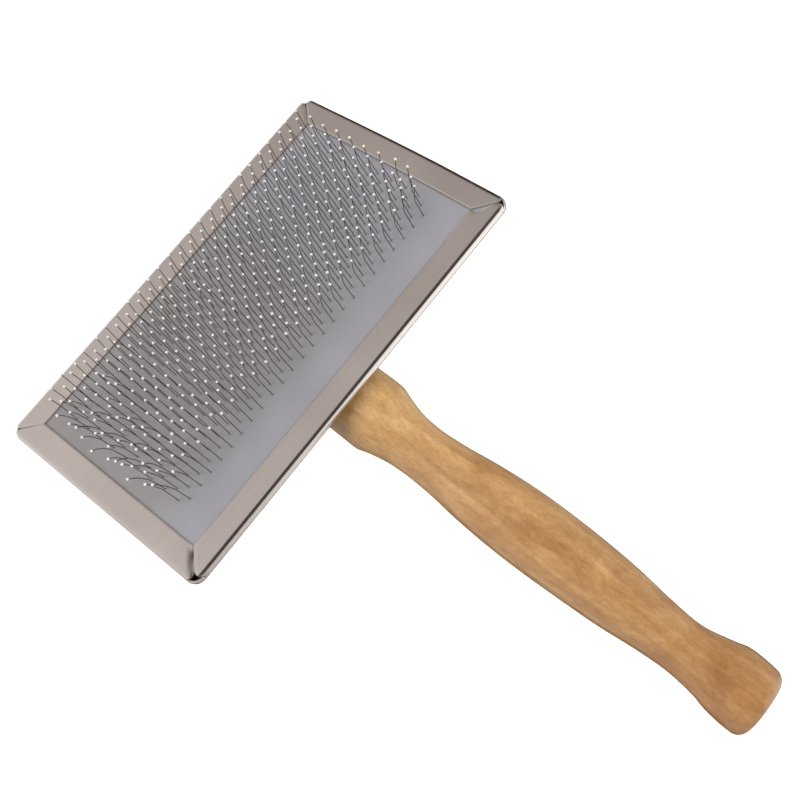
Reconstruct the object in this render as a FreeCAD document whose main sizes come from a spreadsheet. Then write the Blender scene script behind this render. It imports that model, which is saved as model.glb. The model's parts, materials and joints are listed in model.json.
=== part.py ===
import FreeCAD, Part
import math
import os
import Sketcher

# Slicker brush: a folded sheet-metal pan holds a rubber pad full of bent wire pins,
# and a raked wooden handle is screwed to the pan's back.
# Millimetres. Origin at the centre of the pan's flat back, +X along the pan's long side,
# +Y away from the handle, +Z the way the pins point.

SIZES = {
    # stamped pan
    "pan_length": 99.4,
    "pan_width": 58.3,
    "pan_height": 2.5,
    "sheet_thickness": 0.4,
    "flange_width": 5.52,
    "pan_corner_radius": 2.6,
    "outer_bend_radius": 1.15,
    "inner_bend_radius": 0.75,
    # mitred corners of the flange
    "seam_gap": 0.12,
    "seam_mouth_near": 0.6,
    "seam_mouth_far": 0.4,
    "corner_wall_height": 1.9,
    # layers inside the pan
    "layer_side_gap": 0.9,
    "layer_corner_radius": 3.0,
    "cushion_thickness": 0.6,
    "crown_space": 0.4,
    "cloth_thickness": 0.2,
    # pins
    "wire_diameter": 0.3,
    "pin_pitch": 3.28,
    "pins_per_row": 24,
    "row_count": 19,
    "row_pitch": 1.95,
    "near_row_y": -15.05,
    "first_pin_x": -37.46,
    "pin_height": 12.0,
    "knee_height": 5.0,
    "lower_lean": 9.0,
    "upper_lean": 18.0,
    "crown_bend_radius": 0.3,
    "foot_bend_radius": 0.8,
    "knee_bend_radius": 2.4,
    "crown_stub": 1.2,
    "pin_hole_clearance": 0.1,
    "bead_diameter": 0.8,
    "bead_bore_clearance": 0.05,
    # handle
    "handle_rake": 18.0,
    "handle_drop": 8.6,
    "handle_butt_radius": 2.4,
    "foot_reach": 24.0,
    "foot_rounding": 2.0,
    # screws that hold the handle
    "screw_near_y": -21.0,
    "screw_far_y": -10.5,
    "screw_diameter": 3.2,
    "screw_length": 5.6,
    "screw_head_diameter": 6.2,
    "screw_head_top_diameter": 5.0,
    "screw_head_height": 0.55,
    "screw_slot_length": 3.7,
    "screw_slot_width": 0.8,
    "screw_slot_depth": 0.3,
    "screw_clearance": 0.15,
}

# Handle sections: distance from the pan's near edge towards the butt, width, thickness.
HANDLE_STATIONS = {
    "foot_tip": (-30.0, 15.2, 13.0),
    "foot": (-20.0, 15.6, 13.4),
    "seat": (-10.0, 15.9, 13.6),
    "neck": (1.6, 16.0, 13.6),
    "collar": (4.9, 14.3, 12.7),
    "throat": (7.4, 12.9, 11.8),
    "waist": (14.4, 11.6, 10.9),
    "swell": (20.4, 12.5, 11.5),
    "shoulder": (27.0, 14.1, 12.6),
    "belly": (42.0, 15.3, 13.6),
    "hip": (53.0, 14.8, 13.2),
    "taper": (62.0, 13.9, 12.5),
    "second_neck": (77.5, 11.3, 10.6),
    "flare": (84.0, 13.4, 12.0),
    "knob": (89.5, 15.3, 13.3),
    "butt": (96.4, 15.0, 13.0),
}

CUT_OVERRUN = 0.5  # how far a cutting outline runs past the metal that it cuts
TOUCHING = 0.001  # two places closer than this are the same

doc = FreeCAD.newDocument("slicker_brush")
sheet = doc.addObject("Spreadsheet::Sheet", "Sizes")
for line, (alias, value) in enumerate(SIZES.items(), start=1):
    sheet.set(f"A{line}", alias)
    sheet.set(f"B{line}", str(value))
    sheet.setAlias(f"B{line}", alias)
first_station_line = len(SIZES) + 1
for line, (station, measures) in enumerate(HANDLE_STATIONS.items(), start=first_station_line):
    sheet.set(f"A{line}", station)
    for column, measure, value in zip("BCD", ("place", "width", "depth"), measures):
        sheet.set(f"{column}{line}", str(value))
        sheet.setAlias(f"{column}{line}", f"{station}_{measure}")
doc.recompute()


def size(alias):
    """The value of one named cell of the sheet."""
    return float(sheet.get(alias))


def add_sketch(body, name, role, offset=None):
    """A sketch on one of the body's own origin planes, moved along its normal by an expression."""
    sketch = body.newObject("Sketcher::SketchObject", name)
    plane = next(f for f in body.Origin.OriginFeatures if f.Role == role)
    sketch.AttachmentSupport = (plane, [""])
    sketch.MapMode = "FlatFace"
    if offset:
        sketch.setExpression("AttachmentOffset.Base.z", offset)
    return sketch


def draw_rectangle(sketch, width, height):
    """A rectangle centred on the sketch's origin, its sizes bound to expressions."""
    corners = [FreeCAD.Vector(x, y, 0) for x, y in ((-1, -1), (1, -1), (1, 1), (-1, 1))]
    for start in range(4):
        sketch.addGeometry(Part.LineSegment(corners[start], corners[(start + 1) % 4]))
    for start in range(4):
        sketch.addConstraint(Sketcher.Constraint("Coincident", start, 2, (start + 1) % 4, 1))
    sketch.addConstraint(Sketcher.Constraint("Horizontal", 2))
    sketch.addConstraint(Sketcher.Constraint("Vertical", 3))
    sketch.addConstraint(Sketcher.Constraint("Symmetric", 0, 1, 0, 2, -2))
    sketch.addConstraint(Sketcher.Constraint("Symmetric", 1, 1, 1, 2, -1))
    bind(sketch, Sketcher.Constraint("DistanceX", 0, 1, 0, 2, 2.0), width)
    bind(sketch, Sketcher.Constraint("DistanceY", 1, 1, 1, 2, 2.0), height)


def draw_rounded_rectangle(sketch, width, height, radius):
    """The same with rounded corners. Geometry 0 to 3 are the sides, 4 to 7 the corner arcs.

    It is drawn as a square of any size, which its dimensions then pull into shape.
    """
    half, reach = 10.0, 8.0
    quarter = math.pi / 2
    up = FreeCAD.Vector(0, 0, 1)
    spins = [FreeCAD.Rotation(up, 90 * turn) for turn in range(4)]
    for spin in spins:
        start = spin.multVec(FreeCAD.Vector(-reach, -half, 0))
        end = spin.multVec(FreeCAD.Vector(reach, -half, 0))
        sketch.addGeometry(Part.LineSegment(start, end))
    for turn, spin in enumerate(spins):
        circle = Part.Circle(spin.multVec(FreeCAD.Vector(reach, -reach, 0)), up, half - reach)
        sketch.addGeometry(Part.ArcOfCircle(circle, (turn - 1) * quarter, turn * quarter))
    for side in range(4):
        sketch.addConstraint(Sketcher.Constraint("Tangent", side, 2, 4 + side, 1))
        sketch.addConstraint(Sketcher.Constraint("Tangent", 4 + side, 2, (side + 1) % 4, 1))
    for side in (0, 2):
        sketch.addConstraint(Sketcher.Constraint("Horizontal", side))
    for side in (1, 3):
        sketch.addConstraint(Sketcher.Constraint("Vertical", side))
    for corner in (5, 6, 7):
        sketch.addConstraint(Sketcher.Constraint("Equal", 4, corner))
    sketch.addConstraint(Sketcher.Constraint("Symmetric", 4, 3, 6, 3, -1, 1))
    bind(sketch, Sketcher.Constraint("Radius", 4, 2.0), radius)
    bind(sketch, Sketcher.Constraint("DistanceX", 0, 1, 0, 2, 2 * reach), f"{width} - 2 * ({radius})")
    bind(sketch, Sketcher.Constraint("DistanceY", 1, 1, 1, 2, 2 * reach), f"{height} - 2 * ({radius})")


def bind(sketch, constraint, expression):
    """Adds a dimension to a sketch and ties it to the sheet."""
    index = sketch.addConstraint(constraint)
    sketch.setExpression(f"Constraints[{index}]", expression)


def add_pad(body, name, sketch, length):
    pad = body.newObject("PartDesign::Pad", name)
    pad.Profile = sketch
    pad.setExpression("Length", length)
    doc.recompute()
    return pad


def add_pocket(body, name, sketch, length):
    """A pocket that cuts upward, along the sketch's own normal."""
    volume_before = body.Shape.Volume
    pocket = body.newObject("PartDesign::Pocket", name)
    pocket.Profile = sketch
    pocket.setExpression("Length", length)
    pocket.Reversed = True
    doc.recompute()
    if body.Shape.Volume >= volume_before:
        raise RuntimeError(f"{name} removed nothing")
    return pocket


def add_fillet(body, name, radius, wanted):
    """Rounds every edge of the body that the test picks."""
    base = body.Tip
    edges = [f"Edge{i}" for i, edge in enumerate(base.Shape.Edges, start=1) if wanted(edge)]
    fillet = body.newObject("PartDesign::Fillet", name)
    fillet.Base = (base, edges)
    fillet.setExpression("Radius", radius)
    doc.recompute()
    return fillet


def is_upright(edge):
    box = edge.BoundBox
    return box.XLength < TOUCHING and box.YLength < TOUCHING


def lies_at(edge, height):
    box = edge.BoundBox
    return abs(box.ZMin - height) < TOUCHING and abs(box.ZMax - height) < TOUCHING


# ---------------------------------------------------------------- pan
def flange_corner_cut(side_x, side_y, mouth):
    """Outline of the sheet that is missing at one mitred corner, seen from above.

    It is a thin seam at the window's corner, widens to the mouth, and leaves the two
    flange ends rounded. Points are (outward along X, outward along Y) from that corner.
    """
    flange = size("flange_width")
    seam = size("seam_gap") / math.sqrt(2)
    end_gap = mouth / math.sqrt(2)
    end_radius = size("outer_bend_radius")
    inside = -CUT_OVERRUN
    outside = flange + CUT_OVERRUN
    slope = (flange - seam) / (flange - end_gap)
    edge_angle = math.atan(slope)
    tangent_length = end_radius / math.tan(edge_angle / 2)
    sharp_end = flange - end_gap
    arc_start = (
        sharp_end - tangent_length * math.cos(edge_angle),
        flange - tangent_length * math.sin(edge_angle),
    )
    arc_end = (sharp_end - tangent_length, flange)
    centre = (arc_end[0], flange - end_radius)
    middle_angle = math.pi / 2 - (math.pi - edge_angle) / 2
    arc_middle = (
        centre[0] + end_radius * math.cos(middle_angle),
        centre[1] + end_radius * math.sin(middle_angle),
    )
    long_side = [(inside, seam + inside * slope), arc_start, arc_middle, arc_end, (arc_end[0], outside)]
    short_side = [(v, u) for u, v in reversed(long_side)]

    corner_x = size("pan_length") / 2 - flange
    corner_y = size("pan_width") / 2 - flange

    def place(point):
        return FreeCAD.Vector(side_x * (corner_x + point[0]), side_y * (corner_y + point[1]), 0)

    long_points = [place(p) for p in long_side]
    short_points = [place(p) for p in short_side]
    outer_point = place((outside, outside))
    return [
        Part.LineSegment(long_points[0], long_points[1]),
        Part.Arc(long_points[1], long_points[2], long_points[3]),
        Part.LineSegment(long_points[3], long_points[4]),
        Part.LineSegment(long_points[4], outer_point),
        Part.LineSegment(outer_point, short_points[0]),
        Part.LineSegment(short_points[0], short_points[1]),
        Part.Arc(short_points[1], short_points[2], short_points[3]),
        Part.LineSegment(short_points[3], short_points[4]),
        Part.LineSegment(short_points[4], long_points[0]),
    ]


def make_pan():
    """One sheet folded into a shallow pan: floor, four walls and a flange turned in over them."""
    body = doc.addObject("PartDesign::Body", "head_pan")
    height = "Sizes.pan_height"
    sheet_metal = "Sizes.sheet_thickness"

    block = add_sketch(body, "pan_outline", "XY_Plane")
    draw_rounded_rectangle(block, "Sizes.pan_length", "Sizes.pan_width", "Sizes.pan_corner_radius")
    add_pad(body, "pan_block", block, height)
    top = size("pan_height")
    faces = (0, top)
    add_fillet(
        body, "pan_bends", "Sizes.outer_bend_radius", lambda e: any(lies_at(e, level) for level in faces)
    )

    cavity = add_sketch(body, "cavity_outline", "XY_Plane", sheet_metal)
    draw_rounded_rectangle(
        cavity,
        f"Sizes.pan_length - 2 * {sheet_metal}",
        f"Sizes.pan_width - 2 * {sheet_metal}",
        f"Sizes.pan_corner_radius - {sheet_metal}",
    )
    add_pocket(body, "pan_cavity", cavity, f"{height} - 2 * {sheet_metal}")
    levels = (size("sheet_thickness"), top - size("sheet_thickness"))
    add_fillet(
        body, "cavity_bends", "Sizes.inner_bend_radius", lambda e: any(lies_at(e, level) for level in levels)
    )

    window = add_sketch(body, "window_outline", "XY_Plane", f"{height} - 1.5 * {sheet_metal}")
    draw_rectangle(
        window, "Sizes.pan_length - 2 * Sizes.flange_width", "Sizes.pan_width - 2 * Sizes.flange_width"
    )
    add_pocket(body, "pan_window", window, f"2 * {sheet_metal}")

    corners = add_sketch(body, "corner_cuts", "XY_Plane", "Sizes.corner_wall_height")
    for side_y, mouth in ((-1, size("seam_mouth_near")), (1, size("seam_mouth_far"))):
        for side_x in (-1, 1):
            for piece in flange_corner_cut(side_x, side_y, mouth):
                corners.addGeometry(piece)
    add_pocket(body, "corner_reliefs", corners, height)

    holes = add_sketch(body, "screw_holes", "XY_Plane")
    draw_screw_circles(holes, "Sizes.screw_diameter / 2 + Sizes.screw_clearance")
    add_pocket(body, "screw_passages", holes, sheet_metal)
    return body


def draw_screw_circles(sketch, radius):
    """One circle at each screw, on the part's middle line."""
    up = FreeCAD.Vector(0, 0, 1)
    for index, place in enumerate(("Sizes.screw_near_y", "Sizes.screw_far_y")):
        sketch.addGeometry(Part.Circle(FreeCAD.Vector(0, -10.0 - 10.0 * index, 0), up, 2.0))
        sketch.addConstraint(Sketcher.Constraint("PointOnObject", index, 3, -2))
        bind(sketch, Sketcher.Constraint("DistanceY", index, 3, -1, 1, 10.0), f"-({place})")
        bind(sketch, Sketcher.Constraint("Radius", index, 2.0), radius)


# ---------------------------------------------------------------- layers inside the pan
LAYER_LENGTH = "Sizes.pan_length - 2 * Sizes.sheet_thickness - 2 * Sizes.layer_side_gap"
LAYER_WIDTH = "Sizes.pan_width - 2 * Sizes.sheet_thickness - 2 * Sizes.layer_side_gap"


def make_cushion():
    """Soft felt under the pins' crowns, cut out round the two screw heads."""
    body = doc.addObject("PartDesign::Body", "cushion")
    outline = add_sketch(body, "cushion_outline", "XY_Plane", "Sizes.sheet_thickness")
    draw_rectangle(outline, LAYER_LENGTH, LAYER_WIDTH)
    add_pad(body, "cushion_sheet", outline, "Sizes.cushion_thickness")
    add_fillet(body, "cushion_corners", "Sizes.layer_corner_radius", is_upright)
    holes = add_sketch(body, "screw_head_holes", "XY_Plane", "Sizes.sheet_thickness")
    draw_screw_circles(holes, "Sizes.screw_head_diameter / 2 + Sizes.screw_clearance")
    add_pocket(body, "screw_head_pockets", holes, "Sizes.cushion_thickness")
    return body


def pin_places():
    """For each row, its Y and the X of each of its pins. Alternate rows shift by half a pitch."""
    pitch = size("pin_pitch")
    rows = []
    for row in range(int(size("row_count"))):
        shift = -pitch / 2 if row % 2 else 0.0
        count = int(size("pins_per_row")) + (1 if row else 0)
        xs = [size("first_pin_x") + shift + pitch * pin for pin in range(count)]
        rows.append((size("near_row_y") + size("row_pitch") * row, xs))
    return rows


def make_pierced_layer(name, bottom, thickness):
    """A sheet with a round hole for every pin."""
    length = size("pan_length") - 2 * (size("sheet_thickness") + size("layer_side_gap"))
    width = size("pan_width") - 2 * (size("sheet_thickness") + size("layer_side_gap"))
    radius = size("wire_diameter") / 2 + size("pin_hole_clearance")
    up = FreeCAD.Vector(0, 0, 1)
    any_height = 1.0
    blank = Part.makeBox(length, width, any_height, FreeCAD.Vector(-length / 2, -width / 2, 0))
    rounded = blank.makeFillet(size("layer_corner_radius"), [e for e in blank.Edges if is_upright(e)])
    outline = next(face for face in rounded.Faces if face.BoundBox.ZMax < TOUCHING).OuterWire
    holes = [
        Part.Wire(Part.Circle(FreeCAD.Vector(x, y, 0), up, radius).toShape())
        for y, xs in pin_places()
        for x in xs
    ]
    flat = doc.addObject("Part::Feature", f"{name}_outline")
    flat.Shape = Part.makeFace([outline, *holes], "Part::FaceMakerBullseye")
    flat.setExpression("Placement.Base.z", bottom)
    layer = doc.addObject("Part::Extrusion", name)
    layer.Base = flat
    layer.DirMode = "Custom"
    layer.Dir = up
    layer.Solid = True
    layer.setExpression("LengthFwd", thickness)
    return layer


# ---------------------------------------------------------------- pins
def bent_wire(points, radii):
    """Straight runs joined by tangent arcs, one radius for each inner point."""
    edges = []
    start = points[0]
    for before, corner, after, radius in zip(points, points[1:], points[2:], radii):
        toward = (before - corner).normalize()
        away = (after - corner).normalize()
        half_turn = (math.pi - toward.getAngle(away)) / 2
        setback = radius * math.tan(half_turn)
        arc_start = corner + toward * setback
        arc_end = corner + away * setback
        inward = (toward + away).normalize()
        arc_middle = corner + inward * (radius / math.cos(half_turn) - radius)
        edges.append(Part.LineSegment(start, arc_start).toShape())
        edges.append(Part.Arc(arc_start, arc_middle, arc_end).toShape())
        start = arc_end
    edges.append(Part.LineSegment(start, points[-1]).toShape())
    return Part.Wire(edges)


def leg_points(x):
    """One leg of a pin from its crown up: through the pad, out to the knee, back to the tip."""
    crown = size("sheet_thickness") + size("cushion_thickness") + size("crown_space") / 2
    pad_top = size("pan_height") - size("sheet_thickness")
    bend = pad_top + size("pin_hole_clearance")
    knee_y = size("knee_height") * math.tan(math.radians(size("lower_lean")))
    upper_rise = size("pin_height") - size("knee_height")
    tip_y = knee_y - upper_rise * math.tan(math.radians(size("upper_lean")))
    return [
        FreeCAD.Vector(x, 0, crown),
        FreeCAD.Vector(x, 0, bend),
        FreeCAD.Vector(x, knee_y, pad_top + size("knee_height")),
        FreeCAD.Vector(x, tip_y, pad_top + size("pin_height")),
    ]


def sweep_wire(path):
    """Round wire along a path, closed at both ends. Its volume is checked against its length."""
    radius = size("wire_diameter") / 2
    start = path.Edges[0]
    heading = start.tangentAt(start.FirstParameter)
    profile = Part.Wire(Part.Circle(start.valueAt(start.FirstParameter), heading, radius).toShape())
    wire = path.makePipeShell([profile], True, True)
    expected = math.pi * radius**2 * path.Length
    if abs(wire.Volume - expected) > 0.01 * expected:
        raise RuntimeError("a swept wire has the wrong volume")
    return wire


def make_staple():
    """Two pins made from one wire, joined by the crown that lies under the cloth."""
    half = size("pin_pitch") / 2
    bends = [size(f"{place}_bend_radius") for place in ("knee", "foot", "crown")]
    return sweep_wire(
        bent_wire([*reversed(leg_points(-half)), *leg_points(half)], [*bends, *reversed(bends)])
    )


def make_end_pin():
    """The last pin of a row, whose crown is cut short at the edge of the cloth."""
    bends = [size(f"{place}_bend_radius") for place in ("knee", "foot", "crown")]
    leg = leg_points(0)
    stub_end = leg[0] + FreeCAD.Vector(size("crown_stub"), 0, 0)
    return sweep_wire(bent_wire([*reversed(leg), stub_end], bends))


def make_bead():
    """A round tip with the blind hole that the wire's end is fixed in."""
    points = leg_points(0)
    tip = points[-1]
    back = (points[-2] - tip).normalize()
    ball = Part.makeSphere(size("bead_diameter") / 2, tip)
    bore_radius = size("wire_diameter") / 2 + size("bead_bore_clearance")
    return ball.cut(Part.makeCylinder(bore_radius, size("bead_diameter"), tip, back))


def make_pin_rows():
    """Each row of pins and its row of tips, as two groups of separate solids."""
    staple = make_staple()
    end_pin = make_end_pin()
    bead = make_bead()
    made = []
    for number, (y, xs) in enumerate(pin_places(), start=1):
        pairs = [(a + b) / 2 for a, b in zip(xs[0::2], xs[1::2])]
        wires = [staple.translated(FreeCAD.Vector(x, 0, 0)) for x in pairs]
        if len(xs) % 2:
            wires.append(end_pin.translated(FreeCAD.Vector(xs[-1], 0, 0)))
        beads = [bead.translated(FreeCAD.Vector(x, 0, 0)) for x in xs]
        for kind, solids in (("pin_row", wires), ("tip_row", beads)):
            row = doc.addObject("Part::Feature", f"{kind}_{number:02d}")
            row.Shape = Part.makeCompound(solids)
            row.setExpression("Placement.Base.y", f"Sizes.near_row_y + {number - 1} * Sizes.row_pitch")
            made.append(row)
    return made


# ---------------------------------------------------------------- handle and its screws
def make_handle():
    """A turned and flattened wooden handle, raked down from the pan, its foot flat against the back."""
    body = doc.addObject("PartDesign::Body", "handle_blank")
    sections = []
    for station in HANDLE_STATIONS:
        section = add_sketch(body, f"section_{station}", "XZ_Plane", f"Sizes.{station}_place")
        section.addGeometry(
            Part.Ellipse(FreeCAD.Vector(7, 0, 0), FreeCAD.Vector(0, 6, 0), FreeCAD.Vector(0, 0, 0))
        )
        section.exposeInternalGeometry(0)
        section.addConstraint(Sketcher.Constraint("Coincident", 0, 3, -1, 1))
        section.addConstraint(Sketcher.Constraint("PointOnObject", 1, 1, -1))
        bind(section, Sketcher.Constraint("Distance", 1, 14.0), f"Sizes.{station}_width")
        bind(section, Sketcher.Constraint("Distance", 2, 12.0), f"Sizes.{station}_depth")
        sections.append(section)
    doc.recompute()
    loft = body.newObject("PartDesign::AdditiveLoft", "handle_form")
    loft.Profile = sections[0]
    loft.Sections = sections[1:]
    doc.recompute()

    butt_place = size("butt_place")
    add_fillet(
        body,
        "butt_rounding",
        "Sizes.handle_butt_radius",
        lambda e: max(abs(e.BoundBox.YMin + butt_place), abs(e.BoundBox.YMax + butt_place)) < TOUCHING,
    )

    seat = add_sketch(body, "seat_side_view", "YZ_Plane")
    for piece in seat_outline():
        seat.addGeometry(piece)
    volume_before = body.Shape.Volume
    trim = body.newObject("PartDesign::Pocket", "pan_seat")
    trim.Profile = seat
    trim.Type = 1
    trim.Midplane = True
    doc.recompute()
    if body.Shape.Volume >= volume_before:
        raise RuntimeError("the seat removed nothing")
    add_fillet(body, "foot_end", "Sizes.foot_rounding", is_foot_end)

    body.Placement = FreeCAD.Placement(
        FreeCAD.Vector(0, 0, 0), FreeCAD.Rotation(FreeCAD.Vector(1, 0, 0), size("handle_rake"))
    )
    body.setExpression("Placement.Base.y", "-Sizes.pan_width / 2")
    body.setExpression("Placement.Base.z", "-Sizes.handle_drop")
    body.setExpression("Placement.Rotation.Angle", "Sizes.handle_rake")
    doc.recompute()
    return body


def is_foot_end(edge):
    """The curved edge round the foot's end face, in the handle's own frame."""
    rake = math.radians(size("handle_rake"))

    def reach(point):
        return point.y * math.cos(rake) - point.z * math.sin(rake)

    ends = [reach(edge.valueAt(edge.getParameterByLength(edge.Length * share))) for share in (0, 0.5, 1)]
    curved = not isinstance(edge.Curve, Part.Line)
    return curved and all(abs(end - size("foot_reach")) < TOUCHING for end in ends)


def seat_outline():
    """Side view of what is cut from the handle: all above the pan's back, and past the foot's end.

    Points are (along the handle towards the head, up), from the handle's own origin.
    """
    rake = math.radians(size("handle_rake"))
    drop = size("handle_drop")

    def on_back(along, below=0.0):
        """A point this far from the pan's near edge along Y, and this far below the pan's back."""
        rise = drop - below
        across = along * math.cos(rake) + rise * math.sin(rake)
        up = rise * math.cos(rake) - along * math.sin(rake)
        return FreeCAD.Vector(across, up, 0)

    foot_end = size("foot_reach")
    far = 2 * foot_end
    back = [on_back(-far), on_back(foot_end)]
    foot_face = [on_back(foot_end, far), on_back(far, far)]
    points = [*back, *foot_face, on_back(far, -far), on_back(-far, -far)]
    return [Part.LineSegment(a, b) for a, b in zip(points, [*points[1:], points[0]])]


def make_screw():
    """A short pan-head wood screw with a cross slot, its thread left plain. Origin under its head."""
    body = doc.addObject("PartDesign::Body", "handle_screw")
    sketch = add_sketch(body, "screw_half_section", "XZ_Plane")
    shank = size("screw_diameter") / 2
    head = size("screw_head_diameter") / 2
    head_top = size("screw_head_top_diameter") / 2
    height = size("screw_head_height")
    length = size("screw_length")
    shank_outline = [(0, -length), (shank, shank - length), (shank, 0)]
    head_outline = [(head, 0), (head, height / 2), (head_top, height), (0, height)]
    outline = shank_outline + head_outline
    points = [FreeCAD.Vector(x, z, 0) for x, z in outline]
    for a, b in zip(points, [*points[1:], points[0]]):
        sketch.addGeometry(Part.LineSegment(a, b))
    turned = body.newObject("PartDesign::Revolution", "screw_form")
    turned.Profile = sketch
    turned.ReferenceAxis = (sketch, ["V_Axis"])
    turned.Angle = 360
    doc.recompute()
    slots = add_sketch(body, "cross_slot", "XY_Plane", "Sizes.screw_head_height - Sizes.screw_slot_depth")
    arm = size("screw_slot_length") / 2
    half = size("screw_slot_width") / 2
    cross = [(half, half), (arm, half), (arm, -half), (half, -half), (half, -arm), (-half, -arm)]
    cross += [(-x, -y) for x, y in cross]
    corners = [FreeCAD.Vector(x, y, 0) for x, y in cross]
    for a, b in zip(corners, [*corners[1:], corners[0]]):
        slots.addGeometry(Part.LineSegment(a, b))
    add_pocket(body, "cross_recess", slots, "Sizes.screw_slot_depth")
    return body


def make_screws_node(screw):
    """Both screws, their heads seated on the pan's floor."""
    node = doc.addObject("Part::Feature", "handle_screws")
    places = [FreeCAD.Vector(0, size(alias), 0) for alias in ("screw_near_y", "screw_far_y")]
    node.Shape = Part.makeCompound([screw.Shape.translated(place) for place in places])
    node.setExpression("Placement.Base.z", "Sizes.sheet_thickness")
    return node


def drill_handle(handle):
    """The handle with a pilot hole under each screw."""
    drills = []
    for alias in ("screw_near_y", "screw_far_y"):
        drill = doc.addObject("Part::Cylinder", f"pilot_{alias}")
        drill.setExpression("Radius", "Sizes.screw_diameter / 2 + Sizes.bead_bore_clearance")
        drill.setExpression("Height", "Sizes.screw_length + Sizes.sheet_thickness")
        drill.setExpression("Placement.Base.y", f"Sizes.{alias}")
        drill.setExpression("Placement.Base.z", "-Sizes.screw_length")
        drills.append(drill)
    pilots = doc.addObject("Part::MultiFuse", "pilot_holes")
    pilots.Shapes = drills
    drilled = doc.addObject("Part::Cut", "handle")
    drilled.Base = handle
    drilled.Tool = pilots
    return drilled


nodes = {
    "head_pan": make_pan(),
    "cushion": make_cushion(),
    "foundation_cloth": make_pierced_layer(
        "foundation_cloth",
        "Sizes.sheet_thickness + Sizes.cushion_thickness + Sizes.crown_space",
        "Sizes.cloth_thickness",
    ),
    "rubber_pad": make_pierced_layer(
        "rubber_pad",
        "Sizes.sheet_thickness + Sizes.cushion_thickness + Sizes.crown_space + Sizes.cloth_thickness",
        "Sizes.pan_height - 2 * Sizes.sheet_thickness - Sizes.cushion_thickness"
        " - Sizes.crown_space - Sizes.cloth_thickness",
    ),
    "handle": drill_handle(make_handle()),
    "handle_screws": make_screws_node(make_screw()),
}
for pin_row in make_pin_rows():
    nodes[pin_row.Name] = pin_row
doc.recompute()

for item in doc.Objects:
    if "Invalid" in item.State or "Error" in item.State:
        raise RuntimeError(f"{item.Name} failed: {item.State}")
for name, item in nodes.items():
    if item.Shape.isNull() or not item.Shape.isValid():
        raise RuntimeError(f"{name} has no valid shape")

os.makedirs("parts", exist_ok=True)
for name, item in nodes.items():
    if item.Label != name:
        raise RuntimeError(f"{name} is labelled {item.Label}")
    item.Shape.exportStep(f"parts/{name}.step")
    solids = len(item.Shape.Solids)
    print(f"{name}: {solids} solid(s), {item.Shape.Volume:.2f} mm3")
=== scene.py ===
import json
import math
import random

import bmesh
import bpy
import numpy as np
from mathutils import Matrix, Vector, noise


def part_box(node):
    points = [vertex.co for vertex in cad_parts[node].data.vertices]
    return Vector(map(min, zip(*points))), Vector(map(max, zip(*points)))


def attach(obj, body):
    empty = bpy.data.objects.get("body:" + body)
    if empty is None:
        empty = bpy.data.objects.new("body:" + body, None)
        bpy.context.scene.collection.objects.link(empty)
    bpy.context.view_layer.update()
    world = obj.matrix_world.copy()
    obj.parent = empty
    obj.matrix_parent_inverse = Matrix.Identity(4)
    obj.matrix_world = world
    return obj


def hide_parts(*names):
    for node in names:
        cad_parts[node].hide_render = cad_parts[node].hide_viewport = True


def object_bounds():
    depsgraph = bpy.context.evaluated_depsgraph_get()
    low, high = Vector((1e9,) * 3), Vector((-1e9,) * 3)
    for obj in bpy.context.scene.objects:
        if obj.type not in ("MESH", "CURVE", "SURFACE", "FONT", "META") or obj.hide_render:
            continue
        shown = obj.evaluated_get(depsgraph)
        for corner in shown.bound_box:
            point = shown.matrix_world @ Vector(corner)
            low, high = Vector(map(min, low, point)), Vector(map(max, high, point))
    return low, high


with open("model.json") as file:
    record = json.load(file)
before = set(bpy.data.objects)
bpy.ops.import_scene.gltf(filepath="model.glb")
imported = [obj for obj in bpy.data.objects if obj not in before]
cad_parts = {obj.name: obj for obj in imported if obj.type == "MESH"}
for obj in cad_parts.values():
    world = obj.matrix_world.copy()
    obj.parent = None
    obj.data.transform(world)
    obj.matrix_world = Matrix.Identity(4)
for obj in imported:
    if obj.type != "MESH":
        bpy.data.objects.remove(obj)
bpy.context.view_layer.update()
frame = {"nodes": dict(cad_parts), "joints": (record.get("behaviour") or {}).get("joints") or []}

# Sizes that the frame doesn't state, in metres. BUTT_RADIUS and the handle's stations are in millimetres.
# The visible wires and beads are thinner than the CAD's, as in the photo.
MM = 0.001
SHEET = 0.4 * MM
FLANGE = 5.87 * MM
OUTER_BEND = 1.15 * MM
CORNER_RADIUS = 2.6 * MM
CORNER_WALL = 1.9 * MM
LAYER_CORNER = 3.0 * MM
PAD_GRID = 0.25 * MM
PIN_PITCH = 3.28 * MM
PIN_HEIGHT = 12.0 * MM
KNEE_HEIGHT = 5.0 * MM
KNEE_OUT = 0.79 * MM
TIP_BACK = -1.48 * MM
WIRE_RADIUS = 0.085 * MM
CAD_BEAD_RADIUS = 0.4 * MM
BEAD_RADIUS = 0.285 * MM
HANDLE_RAKE = math.radians(18.0)
HANDLE_DROP = 8.6 * MM
FOOT_REACH = 24.0 * MM
BUTT_RADIUS = 2.2
BUTT_STEPS = 8
HANDLE_START = -27.0
HANDLE_STEP = 0.6
HANDLE_SIDES = 96
HANDLE_VOXEL = 0.32 * MM
PIN_SIDES = 10
BEAD_SIDES = 14
PINS_SEED = 41
BENT_SHARE = 0.012
BENT_LEAN = 1.1 * MM
NEAR_DRIFT = 1.15 * MM
FOOT_DEPTH = 0.5 * MM
CROWN_BEND = 0.3 * MM
CROWN_LIFT_LIMIT = 0.11 * MM
FELT_RIM = 0.22 * MM
CLOTH_RIM = 0.07 * MM
CUT_EDGE_ROUNDING = 0.07 * MM
FLOOR_HALF = 3.0
HEAD_BODY = "brush_head"

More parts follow.
